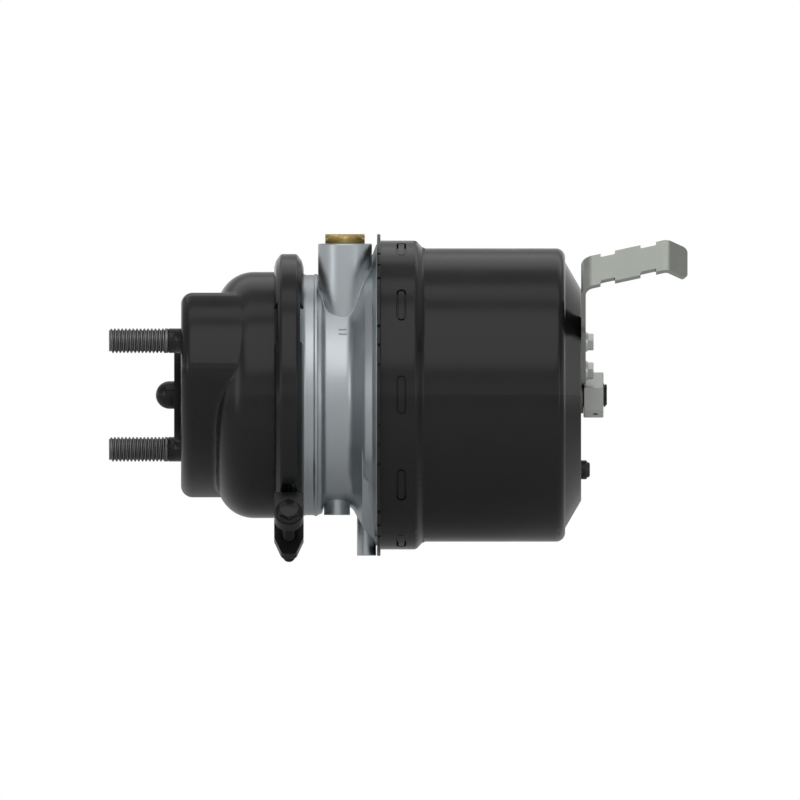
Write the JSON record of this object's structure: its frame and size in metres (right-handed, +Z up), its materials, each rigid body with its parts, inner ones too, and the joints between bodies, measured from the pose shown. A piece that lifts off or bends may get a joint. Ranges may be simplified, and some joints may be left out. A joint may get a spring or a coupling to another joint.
{
  "type": "spring brake chamber",
  "caption": "Air brake chamber for a disc brake, with a service diaphragm and a spring-applied parking piston, mounting studs, push rod, clamp band, ports, release screw and hose bracket.",
  "frame": {"origin": "centre of the flat mounting face, on the push rod's axis", "axes": "+X from the mounting face to the rear of the spring housing, +Z up toward the air ports, -Y toward the side with the hose bracket"},
  "size_m": [0.3761, 0.2213, 0.212],
  "materials": {
    "black_paint": "satin",
    "dark_steel": "satin",
    "blackened_steel": "satin",
    "zinc_steel": "satin",
    "spring_steel": "satin",
    "spring_paint": "satin",
    "cast_aluminium": "satin",
    "brass": "satin",
    "black_rubber": "matte",
    "black_plastic": "matte",
    "bearing_plastic": "matte"
  },
  "bodies": {
    "chamber": {"service_housing": "black_paint", "mounting_studs": "dark_steel", "mounting_face_seal": "black_rubber", "boot_retainer": "zinc_steel", "rod_boot": "black_rubber", "service_diaphragm": "black_rubber", "return_spring": "spring_steel", "clamp_band": "black_paint", "clamp_bolt": "blackened_steel", "clamp_nut": "blackened_steel", "adapter_housing": "cast_aluminium", "service_port_fitting": "brass", "spring_port_fitting": "brass", "guide_bush": "bearing_plastic", "tube_seals": "black_rubber", "seal_retainer": "spring_steel", "housing_seal": "black_rubber", "spring_housing": "black_paint", "power_spring": "spring_paint", "spindle_bush": "dark_steel", "rear_plug": "black_plastic", "vent_plugs": "black_rubber", "hose_bracket": "zinc_steel", "bracket_screws": "zinc_steel"},
    "push_rod": {"push_rod": "blackened_steel", "pressure_plate": "zinc_steel"},
    "spring_piston": {"spring_piston": "cast_aluminium", "piston_lip_seal": "black_rubber", "piston_guide_ring": "bearing_plastic", "push_tube": "zinc_steel", "tube_cap": "zinc_steel", "stop_bush": "zinc_steel"},
    "thrust_washer": {"thrust_washer": "zinc_steel"},
    "release_screw": {"release_spindle": "blackened_steel", "release_nut": "zinc_steel", "release_pin": "spring_steel"}
  },
  "joints": [
    {"name": "spring_piston_slide", "type": "slide", "parent": "chamber", "child": "spring_piston", "axis": [-1, 0, 0], "range_m": [0, 0.057], "deforming": ["power_spring"]},
    {"name": "push_rod_slide", "type": "slide", "parent": "chamber", "child": "push_rod", "axis": [-1, 0, 0], "range_m": [0, 0.057], "stiffness_N_per_m": 1500, "springref_m": -0.05, "deforming": ["return_spring", "rod_boot", "service_diaphragm"]},
    {"name": "release_screw_travel", "type": "slide", "parent": "chamber", "child": "thrust_washer", "axis": [1, 0, 0], "range_m": [0, 0.036]},
    {"name": "release_screw_turn", "type": "hinge", "parent": "thrust_washer", "child": "release_screw", "pos_m": [0.268, 0, 0], "axis": [1, 0, 0], "range_deg": [0, 6480]}
  ],
  "couplings": [
    {"joint": "push_rod_slide", "follows": "spring_piston_slide", "ratio": 1},
    {"joint": "release_screw_turn", "follows": "release_screw_travel", "rad_per_m": 3141.6}
  ]
}
